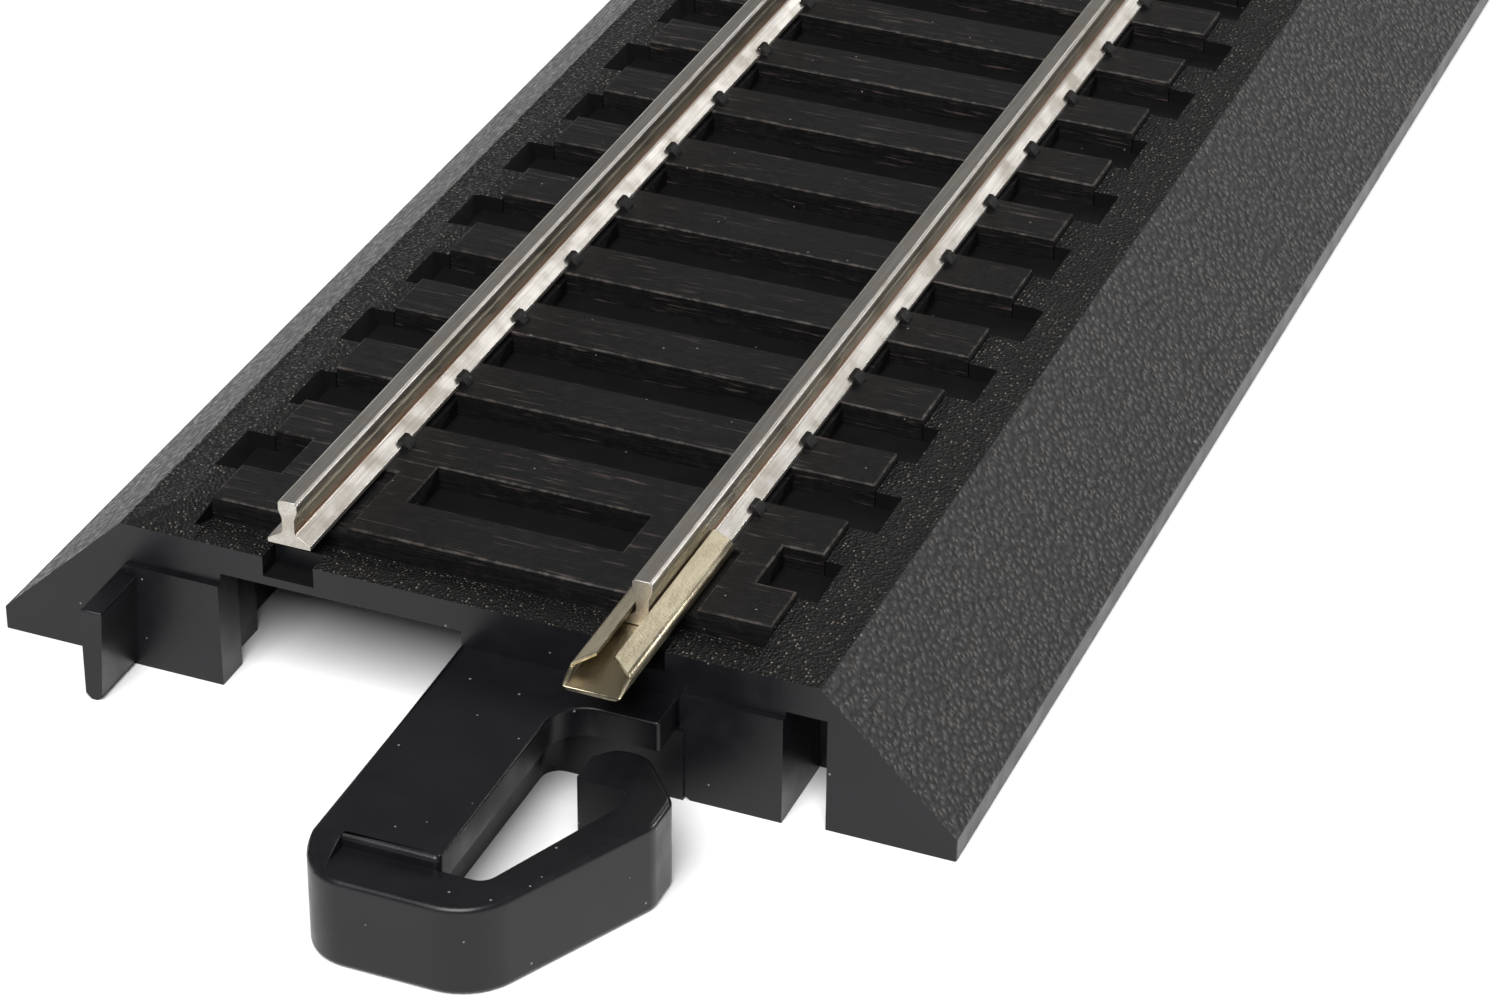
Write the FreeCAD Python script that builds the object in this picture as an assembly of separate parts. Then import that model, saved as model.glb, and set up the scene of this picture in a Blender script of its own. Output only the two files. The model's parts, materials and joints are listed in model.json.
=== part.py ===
# Straight model-railway track section: 16.5 mm gauge rails on a sleeper strip, laid in a hollow
# plastic roadbed whose two ends are alike and snap into the next section.
# Millimetres. X runs across the track, Y along it, Z up. The origin is at the middle of the base.
# Each end is drawn once, at -Y, and turned half round about Z for the other end.
import FreeCAD, Part
import math
import os

# ---- roadbed --------------------------------------------------------------------------------
LENGTH = 228.6              # end face to end face
BASE_WIDTH = 48.2           # across the feet of the shoulders
MARGIN_WIDTH = 3.4          # sleeper ends to the crests of the shoulders
DECK_TOP = 7.55
DECK_BOTTOM = 6.05
FOOT_LIP = 1.2              # upright edge at the foot of each shoulder
SHOULDER_WALL = 1.6         # square to the slope
CROSS_WALL = 1.6            # end walls and cross ribs
INNER_RIBS = 2              # cross ribs between the two socket walls
PAST = 1.0                  # how far a cut runs past the faces it opens
BITE = 0.5                  # how far a part reaches into the one it is fused to

# ---- tray that holds the sleeper strip --------------------------------------------------------
TRAY_FLOOR = 7.05
TRAY_CLEARANCE = 0.06       # sleeper ends to tray walls
CROWN_TOP = 7.9             # margin beside the sleeper ends
CROWN_WIDTH = 1.2           # level part of the margin
CREST_STEP = 0.2            # level edge left beside the crest of the shoulder
CROWN_RUN_IN = 3.0          # ramp of the margin at each end of the section
BANK_RUN = 1.6              # sloping bank in front of the first sleeper
POCKET_REACHES = (0.35, 0.80, 0.30, 0.95, 1.15)     # how far each crib pocket runs past the ties
POCKET_SLOPE = 0.55         # run of the sloping outer end of a pocket

# ---- sleepers ---------------------------------------------------------------------------------
SLEEPER_COUNT = 35
SLEEPER_WIDTH = 3.1         # along the track
SLEEPER_LENGTH = 28.1       # across the track
SLEEPER_TOP = 8.28
FIRST_SLEEPER = 2.75        # end face to the first sleeper's edge
WEB_WIDTH = 2.4             # strip under each rail that joins the sleepers
WEB_DROP = 0.35             # strip top below the sleeper tops
END_PLATE_IN = 3.29         # plates that join the last two sleepers, inwards from the rail's middle
END_PLATE_OUT = 3.31        # and outwards from it
PEG_DIAMETER = 2.0
PEG_CLEARANCE = 0.05        # radial
PEG_SLEEPERS = (2, 10, 17, 24, 32)
PEG_RECESS = 0.15           # peg end above the underside of the deck

# ---- rails ------------------------------------------------------------------------------------
GAUGE = 16.5                # between the inner faces of the heads
RAIL_HEIGHT = 2.4
HEAD_WIDTH = 0.98
HEAD_DEPTH = 0.55
HEAD_CHAMFER = 0.12
WEB_THICKNESS = 0.66
FOOT_WIDTH = 2.2
FOOT_EDGE = 0.25            # thickness at the edge of the foot
FOOT_ROOT = 0.70            # height where the foot meets the web
FOOT_FILLET = 0.25
HEAD_UNDERSIDE = 0.38       # height of the slope between web and head
HEAD_FILLET = 0.3
FREE_END_GAP = 0.25         # end face to the rail end that has no joiner
JOINED_END_GAP = 0.5        # end face to the rail end that carries the joiner
SPIKE_LENGTH = 0.8          # along the rail
SPIKE_REACH = 0.22          # over the edge of the foot
SPIKE_BODY = 0.36           # beside the foot
SPIKE_SIDE = 0.15           # height of its outer side
SPIKE_CAP = 0.13            # above the foot
SPIKE_STAGGER = 0.55        # inner and outer spike, each way from the sleeper's middle
RAIL_CLEARANCE = 0.02

# ---- rail joiners -----------------------------------------------------------------------------
SHEET = 0.2
JOINER_LENGTH = 12.9
JOINER_OVERHANG = 5.1       # past the end face
JOINER_CLEARANCE = 0.03     # sheet to the bottom of the rail foot
JOINER_SIDE_GAP = 0.15      # sheet to the edges of the rail foot
JOINER_SHIFT = 0.03         # towards the middle of the track
JOINER_LIP_GAP = 0.07       # lip to rail web
FLAP_GAP = 0.14             # flap to the top of the rail foot
FOLD_RISE = 0.17            # outer fold above the foot's edge and the gap
JOINER_FOOT_BEND = 0.40     # outer radius of the lower folds
JOINER_FLAP_BEND = 0.35     # outer radius of the upper folds
JOINER_INSET = 0.03         # lip's top edge, outwards from its lower edge
MOUTH_RUN_AT_FOLD = 0.95    # how far the side is cut back at its upper fold
MOUTH_RUN_AT_LIP = 1.6      # how far the flap is cut back at its lip
RECESS_CLEARANCE = 0.25     # joiner to the sides of its recess
RECESS_DROP = 0.10          # recess floor below the joiner
NOTCH_DEPTH = 1.05          # notch in the deck edge under each rail
NOTCH_RUN = 1.3
NOTCH_HALF = 1.3

# ---- coupling tongue --------------------------------------------------------------------------
TONGUE_REACH = 17.4
RIM_TOP = 4.6               # top of the loop
PLATE_TOP = 5.25            # top of the flat bar
PLATE_THICKNESS = 1.5
PLATE_WIDTH = 6.0
LAP_WIDTH = 1.4             # the bar's outer edge runs on over the nose this wide
LAP_RUN = 1.9               # and falls to the top of the loop in this length
ROOT_WIDTH = 10.7
ROOT_REACH = 2.2
LEG_WIDTH = 4.46            # left leg of the loop, under the bar
LEG_WALL = 1.3
NOSE_DEPTH = 2.4            # front of the loop, from its hole to its outer face
NOSE_CORNER_LEFT = 2.4
NOSE_CORNER_RIGHT = 3.2
ARM_ANGLE = math.radians(63.5)      # outer face of the spring arm, from X
ARM_INNER_ANGLE = math.radians(67.0)
ARM_FOOT_X = 8.7            # where the arm's outer face would meet the front of the nose
ARM_THICKNESS = 1.6         # at the pivot
HEAD_RIGHT = 13.15          # widest point of the latch head
HEAD_LEFT = 8.6
HEAD_BACK = 3.65            # end face to the back of the head
HEAD_SHOULDER = 6.35        # end face to the top of the head's flank
HEAD_TIP_FRONT = 6.6
NOTCH_CORNER_X = 11.05
HEAD_FLANK = 2.25           # from the head's left side to the start of its sloping flank
PINCH = 1.05                # from the head's hook to the narrow start of the arm
PIVOT_FROM_FRONT = 2.4      # nose front to the flexing point of the arm
PIVOT_BACK = 0.36           # the pivot is this far back along the arm
KNUCKLE_RADIUS = 1.15
KNUCKLE_CLEARANCE = 0.04

# ---- socket, blocks and key -------------------------------------------------------------------
CATCH_BITE = 0.85           # how far the latch head reaches behind the catch
SOCKET_END_GAP = 1.6        # nose of the next tongue to the end of the socket
CATCH_LENGTH = 4.5
CATCH_RELIEF = 0.7
CATCH_RELIEF_START = 1.4
CATCH_RELIEF_END = 2.6
BLOCK_PROUD = 0.3
LEFT_BLOCK_TOP = 5.5
RIGHT_BLOCK_TOP = 5.6
RIGHT_BLOCK_X = 10.9
APRON_PROUD = 0.4           # wall under the root of the tongue
APRON_LAP = 0.2             # into the right block
APRON_STEP = 1.2            # foot of the leg's fillet, from the leg
GUIDE_GAP = 0.65            # latch head to the socket's outer guide
GUIDE_WALL = 1.3
KEY_REACH = 3.7
KEY_TOP = 4.95
KEY_OUTER = 17.7
KEY_TOP_WIDTH = 1.15
KEY_FOOT_WIDTH = 0.85
KEY_CHAMFER = 0.3
KEY_GAP_OUT = 0.15          # key to the outer side of its slot
KEY_GAP_IN = 0.7            # key to the inner side of its slot
KEY_GAP_END = 0.76
KEY_GAP_TOP = 0.95
KEY_SLOT_WALL = 1.2
BLOCK_CHAMFER = 0.5         # lower inner corner of the right block

END = LENGTH / 2
TOP_WIDTH = SLEEPER_LENGTH + 2 * MARGIN_WIDTH       # across the crests of the shoulders
RAIL_X = GAUGE / 2 + HEAD_WIDTH / 2
SLEEPER_HALF = SLEEPER_LENGTH / 2
TRAY_HALF = SLEEPER_HALF + TRAY_CLEARANCE
PITCH = (LENGTH - 2 * FIRST_SLEEPER - SLEEPER_WIDTH) / (SLEEPER_COUNT - 1)
JOINER_HALF = FOOT_WIDTH / 2 + JOINER_SIDE_GAP + SHEET
JOINER_BASE = SLEEPER_TOP - JOINER_CLEARANCE - SHEET
RECESS_HALF = JOINER_HALF + RECESS_CLEARANCE
PLATE_BOTTOM = PLATE_TOP - PLATE_THICKNESS
HOLE_FRONT = TONGUE_REACH - NOSE_DEPTH              # end face to the front of the loop's hole
PLATE_END = HOLE_FRONT                              # end face to the step at the front of the bar
SOCKET_MOUTH = HEAD_RIGHT - CATCH_BITE
SOCKET_DEPTH = TONGUE_REACH + SOCKET_END_GAP
GUIDE_X = HEAD_RIGHT + GUIDE_GAP
KEY_SLOT_OUT = KEY_OUTER + KEY_GAP_OUT
KEY_SLOT_IN = KEY_OUTER - KEY_TOP_WIDTH - KEY_GAP_IN
KEY_SLOT_DEPTH = KEY_REACH + KEY_GAP_END
KEY_SLOT_TOP = KEY_TOP + KEY_GAP_TOP
FUSED_TOP = DECK_BOTTOM + 0.2                       # walls under the deck reach this far into it


# ---- drawing helpers --------------------------------------------------------------------------
def point(x, y, z=0.0):
    return FreeCAD.Vector(x, y, z)


def block(x0, x1, y0, y1, z0, z1):
    return Part.makeBox(x1 - x0, y1 - y0, z1 - z0, point(x0, y0, z0))


def corner_arc(before, corner, after, radius):
    """Start, middle and end of the arc that rounds one corner; the corner itself when sharp."""
    at = point(corner[0], corner[1])
    if not radius:
        return at, None, at
    back = (point(before[0], before[1]) - at).normalize()
    ahead = (point(after[0], after[1]) - at).normalize()
    half = back.getAngle(ahead) / 2
    reach = radius / math.tan(half)
    inward = (back + ahead).normalize()
    centre = at + inward * (radius / math.sin(half))
    return at + back * reach, centre - inward * radius, at + ahead * reach


def outline_face(corners, place):
    """Face inside the corners (u, v) or (u, v, radius); place turns u, v into a point."""
    count = len(corners)
    arcs = []
    for i, corner in enumerate(corners):
        radius = corner[2] if len(corner) > 2 else 0
        arcs.append(corner_arc(corners[i - 1], corner, corners[(i + 1) % count], radius))
    edges = []
    for i, (start, middle, end) in enumerate(arcs):
        following = arcs[(i + 1) % count][0]
        if middle is not None:
            edges.append(Part.Arc(place(start), place(middle), place(end)).toShape())
        if end.distanceToPoint(following) > 1e-6:
            edges.append(Part.makeLine(place(end), place(following)))
    return Part.Face(Part.Wire(edges))


def prism_z(corners, z0, z1):
    face = outline_face(corners, lambda p: point(p.x, p.y, z0))
    return face.extrude(point(0, 0, z1 - z0))


def prism_y(corners, y0, y1):
    face = outline_face(corners, lambda p: point(p.x, y0, p.y))
    return face.extrude(point(0, y1 - y0, 0))


def prism_x(corners, x0, x1):
    face = outline_face(corners, lambda p: point(x0, p.x, p.y))
    return face.extrude(point(x1 - x0, 0, 0))


def mirrored(corners):
    """A half outline on +X, continued on -X, so that it closes."""
    return corners + [(-corner[0],) + tuple(corner[1:]) for corner in reversed(corners)]


def at_front(shape):
    """Move a shape drawn with its Y measured inwards from the end face to the -Y end."""
    moved = shape.copy()
    moved.translate(point(0, -END, 0))
    return moved


def turned(shape):
    """The same shape at the other end, turned half round about Z."""
    other = shape.copy()
    other.rotate(point(0, 0, 0), point(0, 0, 1), 180)
    return other


def both_ends(shapes):
    placed = [at_front(shape) for shape in shapes]
    return placed + [turned(shape) for shape in placed]


# ---- roadbed ----------------------------------------------------------------------------------
def shoulder_x(z):
    """Outer face of the shoulder at height z."""
    fall = (max(z, FOOT_LIP) - FOOT_LIP) / (DECK_TOP - FOOT_LIP)
    return BASE_WIDTH / 2 - fall * (BASE_WIDTH - TOP_WIDTH) / 2


def outer_body():
    half = [(BASE_WIDTH / 2, 0), (BASE_WIDTH / 2, FOOT_LIP), (TOP_WIDTH / 2, DECK_TOP)]
    return prism_y(mirrored(half), -END, END)


def bay(y0, y1):
    """Hollow under the deck between two cross walls."""
    slope = math.atan2(DECK_TOP - FOOT_LIP, (BASE_WIDTH - TOP_WIDTH) / 2)
    wall = SHOULDER_WALL / math.sin(slope)
    foot = shoulder_x(0) - wall
    half = [(foot, -PAST), (foot, FOOT_LIP), (shoulder_x(DECK_BOTTOM) - wall, DECK_BOTTOM)]
    return prism_y(mirrored(half), y0, y1)


def bays():
    """Bays at both ends, and the middle ones between evenly spaced cross ribs."""
    socket_wall = -END + SOCKET_DEPTH
    shapes = [bay(-END + CROSS_WALL, socket_wall), bay(-socket_wall, END - CROSS_WALL)]
    first = socket_wall + CROSS_WALL
    count = INNER_RIBS + 1
    step = (-2 * first + CROSS_WALL) / count
    for i in range(count):
        start = first + i * step
        shapes.append(bay(start, start + step - CROSS_WALL))
    return shapes


def crown():
    """Raised margin on each side of the tray, ramped at the ends of the section."""
    inner = TRAY_HALF - BITE
    crest = TOP_WIDTH / 2 - CREST_STEP
    half = [(inner, DECK_TOP - BITE), (crest, DECK_TOP - BITE), (crest, DECK_TOP),
            (TRAY_HALF + CROWN_WIDTH, CROWN_TOP), (inner, CROWN_TOP)]
    right = prism_y(half, -END, END)
    ramp = prism_x([(-PAST, DECK_TOP), (0, DECK_TOP), (CROWN_RUN_IN, CROWN_TOP), (CROWN_RUN_IN, CROWN_TOP
                    + PAST), (-PAST, CROWN_TOP + PAST)], -BASE_WIDTH, BASE_WIDTH)
    margin = right.fuse(right.mirror(point(0, 0, 0), point(1, 0, 0)))
    return margin.cut(both_ends([ramp]))


def tray_cuts():
    """Tray for the sleeper strip, its end banks and the crib pockets with sloping outer ends."""
    top = CROWN_TOP + PAST
    start = FIRST_SLEEPER - TRAY_CLEARANCE
    cuts = [block(-TRAY_HALF, TRAY_HALF, -END + start, END - start, TRAY_FLOOR, top)]
    inside, crest = start + BITE, start - BANK_RUN
    bank = prism_x([(start, TRAY_FLOOR), (inside, TRAY_FLOOR), (inside, top), (crest, top),
                    (crest, DECK_TOP)], -TRAY_HALF, TRAY_HALF)
    cuts += both_ends([bank])
    for i in range(SLEEPER_COUNT - 1):
        y0 = -END + FIRST_SLEEPER + i * PITCH + SLEEPER_WIDTH
        reach = TRAY_HALF + POCKET_REACHES[i % len(POCKET_REACHES)]
        half = [(SLEEPER_HALF - BITE, TRAY_FLOOR), (reach, TRAY_FLOOR),
                (reach + POCKET_SLOPE, CROWN_TOP), (reach + POCKET_SLOPE, top), (SLEEPER_HALF - BITE, top)]
        right = prism_y(half, y0, y0 + PITCH - SLEEPER_WIDTH)
        cuts += [right, turned(right)]
    return cuts


def loop_corners():
    """Outline of the tongue's loop: leg, nose, spring arm and latch head, in one open C."""
    rise = math.tan(ARM_ANGLE)
    knee_y = -TONGUE_REACH + (HEAD_RIGHT - ARM_FOOT_X) * rise
    inner_x = arm_inner_x(HOLE_FRONT)
    pinch_y = -HEAD_TIP_FRONT - PINCH
    step = LEG_WIDTH + APRON_STEP
    return [(0, BITE), (0, -TONGUE_REACH, NOSE_CORNER_LEFT), (ARM_FOOT_X, -TONGUE_REACH, NOSE_CORNER_RIGHT),
            (HEAD_RIGHT, knee_y, 1.3), (HEAD_RIGHT, -HEAD_SHOULDER, 1.0),
            (HEAD_LEFT + HEAD_FLANK, -HEAD_BACK, 1.2), (HEAD_LEFT, -HEAD_BACK, 1.3),
            (HEAD_LEFT, -HEAD_TIP_FRONT, 0.2), (NOTCH_CORNER_X, -HEAD_TIP_FRONT, 0.15),
            (arm_inner_x(-pinch_y), pinch_y, 0.2), (inner_x, -HOLE_FRONT, 0.9),
            (LEG_WIDTH, -HOLE_FRONT, 0.8), (LEG_WIDTH, -APRON_PROUD, 0.9),
            (step, -APRON_PROUD), (step, BITE)]


def arm_line():
    """Pivot on the arm's middle line, and the unit vector along the arm."""
    along = point(math.cos(ARM_ANGLE), math.sin(ARM_ANGLE))
    outward = point(math.sin(ARM_ANGLE), -math.cos(ARM_ANGLE))
    y = -TONGUE_REACH + PIVOT_FROM_FRONT
    on_face = point(ARM_FOOT_X + PIVOT_FROM_FRONT / math.tan(ARM_ANGLE), y)
    return on_face - outward * (ARM_THICKNESS / 2) - along * PIVOT_BACK, along, outward


def arm_inner_x(depth):
    """Inner face of the arm at a distance in front of the end face."""
    pivot, along, outward = arm_line()
    start = pivot - outward * (ARM_THICKNESS / 2)
    return start.x + (-depth - start.y) / math.tan(ARM_INNER_ANGLE)


def arm_zone():
    """Everything on the arm's side of the pivot, well clear of the leg."""
    pivot, along, outward = arm_line()
    low = pivot + outward * (ARM_THICKNESS + PAST)
    inner = pivot - outward * (ARM_THICKNESS / 2 + BITE)
    right, left, back = HEAD_RIGHT + PAST, HEAD_LEFT - PAST, -HEAD_BACK + PAST
    corners = [(low.x, low.y), (right, low.y), (right, back), (left, back), (left, inner.y + PAST),
               (inner.x, inner.y)]
    return prism_z(corners, -PAST, RIM_TOP + PAST)


def knuckle(radius):
    pivot, along, outward = arm_line()
    return Part.makeCylinder(radius, RIM_TOP + 2 * PAST, point(pivot.x, pivot.y, -PAST))


def lap():
    """Outer edge of the bar where it runs on over the nose and falls to the top of the loop."""
    low = RIM_TOP - BITE
    slope = prism_x([(-PLATE_END + BITE, low), (-PLATE_END + BITE, PLATE_TOP), (-PLATE_END, PLATE_TOP),
                     (-PLATE_END - LAP_RUN, RIM_TOP), (-PLATE_END - LAP_RUN, low)], 0, LAP_WIDTH)
    return slope.common(prism_z(loop_corners(), low, PLATE_TOP))


def tongue():
    """Leg, nose and flat bar of the coupling tongue; the spring arm is left out."""
    loop = prism_z(loop_corners(), 0, RIM_TOP)
    fixed = loop.cut([arm_zone(), knuckle(KNUCKLE_RADIUS + KNUCKLE_CLEARANCE)])
    hollow = block(LEG_WALL, LEG_WIDTH - LEG_WALL, -PLATE_END + LEG_WALL, -LEG_WALL, -PAST, PLATE_BOTTOM)
    bar = prism_z([(0, BITE), (0, -PLATE_END), (PLATE_WIDTH, -PLATE_END, 0.3),
                   (PLATE_WIDTH, -ROOT_REACH, 1.8), (ROOT_WIDTH, -ROOT_REACH, 0.2), (ROOT_WIDTH, BITE)],
                  PLATE_BOTTOM, PLATE_TOP)
    apron = block(LEG_WIDTH + APRON_STEP, RIGHT_BLOCK_X + APRON_LAP, -APRON_PROUD, BITE, 0, PLATE_BOTTOM)
    return fixed.cut(hollow).fuse([bar, lap(), apron])


def latch_arm():
    """Spring arm with its hooked head; it flexes at the knuckle beside the nose."""
    loop = prism_z(loop_corners(), 0, RIM_TOP)
    return loop.common(arm_zone().fuse(knuckle(KNUCKLE_RADIUS)))


def left_block():
    """Block beside the socket; its inner face is relieved behind the catch."""
    outer, mouth = -KEY_OUTER + BITE, -SOCKET_MOUTH
    corners = [(outer, 0), (mouth, 0), (mouth, CATCH_RELIEF_START), (mouth - CATCH_RELIEF, CATCH_RELIEF_END),
               (mouth - CATCH_RELIEF, CATCH_LENGTH), (outer, CATCH_LENGTH)]
    inner = prism_z(corners, 0, FUSED_TOP)
    skin = block(outer, mouth, -BLOCK_PROUD, BITE, 0, LEFT_BLOCK_TOP)
    return inner.fuse(skin)


def right_block():
    """Block between the tongue and the key slot, with one lower corner cut off."""
    corners = [(RIGHT_BLOCK_X, BLOCK_CHAMFER), (RIGHT_BLOCK_X + BLOCK_CHAMFER, 0), (KEY_SLOT_IN, 0),
               (KEY_SLOT_IN, RIGHT_BLOCK_TOP), (RIGHT_BLOCK_X, RIGHT_BLOCK_TOP)]
    return prism_y(corners, -BLOCK_PROUD, BITE)


def key():
    """Upright key that enters the next section's slot."""
    section = [(-KEY_OUTER, KEY_CHAMFER), (-KEY_OUTER + KEY_CHAMFER, 0),
               (-KEY_OUTER + KEY_FOOT_WIDTH - KEY_CHAMFER, 0), (-KEY_OUTER + KEY_FOOT_WIDTH, KEY_CHAMFER),
               (-KEY_OUTER + KEY_TOP_WIDTH, KEY_TOP), (-KEY_OUTER, KEY_TOP)]
    return prism_y(section, -KEY_REACH, BITE)


def key_slot_walls():
    return block(KEY_SLOT_IN - KEY_SLOT_WALL, KEY_SLOT_OUT + KEY_SLOT_WALL, 0,
                 KEY_SLOT_DEPTH + KEY_SLOT_WALL, 0, FUSED_TOP)


def socket_guides():
    """Ribs on both sides of the socket, from the end wall to the first cross wall."""
    outer = block(-GUIDE_X - GUIDE_WALL, -GUIDE_X, BITE, SOCKET_DEPTH + BITE, 0, FUSED_TOP)
    inner = block(0, LEG_WALL, BITE, SOCKET_DEPTH + BITE, 0, FUSED_TOP)
    return [outer, inner]


def end_cuts():
    """Socket mouth, key slot and the notches in the deck edge under the rails."""
    mouth = block(-SOCKET_MOUTH, 0, -PAST, CROSS_WALL, -PAST, DECK_BOTTOM)
    slot = block(KEY_SLOT_IN, KEY_SLOT_OUT, -PAST, KEY_SLOT_DEPTH, -PAST, KEY_SLOT_TOP)
    floor = DECK_TOP - NOTCH_DEPTH
    notches = [block(x - NOTCH_HALF, x + NOTCH_HALF, -PAST, NOTCH_RUN, floor, DECK_TOP + PAST)
               for x in (-RAIL_X, RAIL_X)]
    return [mouth, slot] + notches


def peg_places():
    return [sleeper_y(i) for i in PEG_SLEEPERS]


def roadbed():
    outside = outer_body()
    slot_walls = [walls.common(outside) for walls in both_ends([key_slot_walls()])]
    body = outside.cut(bays()).fuse(slot_walls)
    body = body.fuse(both_ends([tongue(), left_block(), key()] + socket_guides()))
    body = body.cut(both_ends(end_cuts()))
    body = body.fuse([crown()] + both_ends([right_block()]))
    holes = [Part.makeCylinder(PEG_DIAMETER / 2 + PEG_CLEARANCE, DECK_TOP, point(0, y, DECK_BOTTOM - PAST))
             for y in peg_places()]
    return body.cut(tray_cuts() + holes).removeSplitter()


# ---- sleeper strip ----------------------------------------------------------------------------
def sleeper_y(i):
    """Middle of sleeper i."""
    return -END + FIRST_SLEEPER + SLEEPER_WIDTH / 2 + i * PITCH


def foot_top(x):
    """Height of the top of the rail foot above its bottom, x from the rail's middle."""
    share = (FOOT_WIDTH / 2 - x) / (FOOT_WIDTH / 2 - WEB_THICKNESS / 2)
    return FOOT_EDGE + share * (FOOT_ROOT - FOOT_EDGE)


def spike_section():
    """Spike head beside the foot, hooked over its edge, with x outwards from the rail's middle."""
    edge = FOOT_WIDTH / 2
    near = edge - SPIKE_REACH
    over = foot_top(near) + RAIL_CLEARANCE
    foot = edge + RAIL_CLEARANCE
    outer = edge + SPIKE_BODY
    return [(foot, -BITE), (foot, FOOT_EDGE + RAIL_CLEARANCE), (near, over), (near, over + SPIKE_CAP),
            (edge, over + SPIKE_CAP), (outer, SPIKE_SIDE), (outer, -BITE)]


def spikes(i):
    """The four spike heads of one sleeper, the inner ones behind the outer ones."""
    shapes = []
    for rail in (-1, 1):
        for side in (-1, 1):
            section = [(rail * RAIL_X + side * x, SLEEPER_TOP + z) for x, z in spike_section()]
            y = sleeper_y(i) + rail * side * SPIKE_STAGGER - SPIKE_LENGTH / 2
            shapes.append(prism_y(section, y, y + SPIKE_LENGTH))
    return shapes


def sleeper_strip():
    pieces = []
    for i in range(SLEEPER_COUNT):
        y = sleeper_y(i) - SLEEPER_WIDTH / 2
        pieces.append(block(-SLEEPER_HALF, SLEEPER_HALF, y, y + SLEEPER_WIDTH, TRAY_FLOOR, SLEEPER_TOP))
    low = SLEEPER_TOP - WEB_DROP
    for x in (-RAIL_X, RAIL_X):
        pieces.append(block(x - WEB_WIDTH / 2, x + WEB_WIDTH / 2, sleeper_y(0),
                            sleeper_y(SLEEPER_COUNT - 1), TRAY_FLOOR, low))
    for side in (-1, 1):
        x0, x1 = sorted((side * (RAIL_X - END_PLATE_IN), side * (RAIL_X + END_PLATE_OUT)))
        for i in (0, SLEEPER_COUNT - 2):
            pieces.append(block(x0, x1, sleeper_y(i), sleeper_y(i + 1), TRAY_FLOOR, SLEEPER_TOP))
    peg_foot = DECK_BOTTOM + PEG_RECESS
    pieces += [Part.makeCylinder(PEG_DIAMETER / 2, SLEEPER_TOP - BITE - peg_foot, point(0, y, peg_foot))
               for y in peg_places()]
    strip = pieces[0].fuse(pieces[1:])
    reach = JOINER_LENGTH - JOINER_OVERHANG + RECESS_CLEARANCE
    floor = JOINER_BASE - RECESS_DROP
    recesses = [block(x - RECESS_HALF, x + RECESS_HALF, 0, reach, floor, SLEEPER_TOP + PAST)
                for x in (-RAIL_X, RAIL_X)]
    strip = strip.cut(both_ends(recesses))
    spike_shapes = []
    for i in range(1, SLEEPER_COUNT - 1):
        spike_shapes += spikes(i)
    return strip.fuse(spike_shapes).removeSplitter()


# ---- rails and joiners ------------------------------------------------------------------------
def rail_section(x):
    """Flat-bottomed rail about x, standing on the sleepers."""
    neck = RAIL_HEIGHT - HEAD_DEPTH
    half = [(FOOT_WIDTH / 2, 0), (FOOT_WIDTH / 2, FOOT_EDGE), (WEB_THICKNESS / 2, FOOT_ROOT,
            FOOT_FILLET), (WEB_THICKNESS / 2, neck - HEAD_UNDERSIDE, HEAD_FILLET), (HEAD_WIDTH / 2, neck),
            (HEAD_WIDTH / 2, RAIL_HEIGHT - HEAD_CHAMFER), (HEAD_WIDTH / 2 - HEAD_CHAMFER, RAIL_HEIGHT)]
    return [(x + corner[0], SLEEPER_TOP + corner[1]) + tuple(corner[2:]) for corner in mirrored(half)]


def rail_right():
    """Rail at +X; its joiner is at the -Y end."""
    return prism_y(rail_section(RAIL_X), -END + JOINED_END_GAP, END - FREE_END_GAP)


def joiner_section():
    """Right half of the folded sheet, from the middle of the foot: outer corners, then inner ones."""
    edge = FOOT_WIDTH / 2 + JOINER_SIDE_GAP
    lip = WEB_THICKNESS / 2 + JOINER_LIP_GAP
    low, side = -JOINER_CLEARANCE, FOOT_EDGE + FLAP_GAP
    top = foot_top(lip) + FLAP_GAP
    return [(edge + SHEET, low - SHEET, JOINER_FOOT_BEND), (edge + SHEET, side + FOLD_RISE, JOINER_FLAP_BEND),
            (lip + JOINER_INSET, top + SHEET), (lip, top), (edge, side), (edge, low)]


def mouth_cut():
    """What the mouth leaves out: the sides lean back from the foot to the upper folds, and the flaps
    run back from there to their lips."""
    low, fold, lip, _, bend = joiner_section()[:5]
    front, top = -PAST, lip[1] + PAST
    sides = prism_x([(front, low[1] + SHEET), (0, low[1] + SHEET), (MOUTH_RUN_AT_FOLD, bend[1]),
                     (MOUTH_RUN_AT_FOLD, top), (front, top)], -fold[0], fold[0])
    half = [(fold[0], front), (fold[0], MOUTH_RUN_AT_FOLD), (lip[0], MOUTH_RUN_AT_LIP)]
    flaps = prism_z(mirrored(half), bend[1], top)
    return [sides, flaps]


def joiner():
    """Sheet folded round the foot of the +X rail at the -Y end, open at its mouth."""
    sheet = prism_y(mirrored(joiner_section()), 0, JOINER_LENGTH)
    sheet = sheet.cut(mouth_cut())
    sheet.translate(point(RAIL_X - JOINER_SHIFT, -JOINER_OVERHANG, SLEEPER_TOP))
    return at_front(sheet)


# ---- export -----------------------------------------------------------------------------------
def export(name, shape):
    shape.exportStep(os.path.join("parts", name + ".step"))


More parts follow.
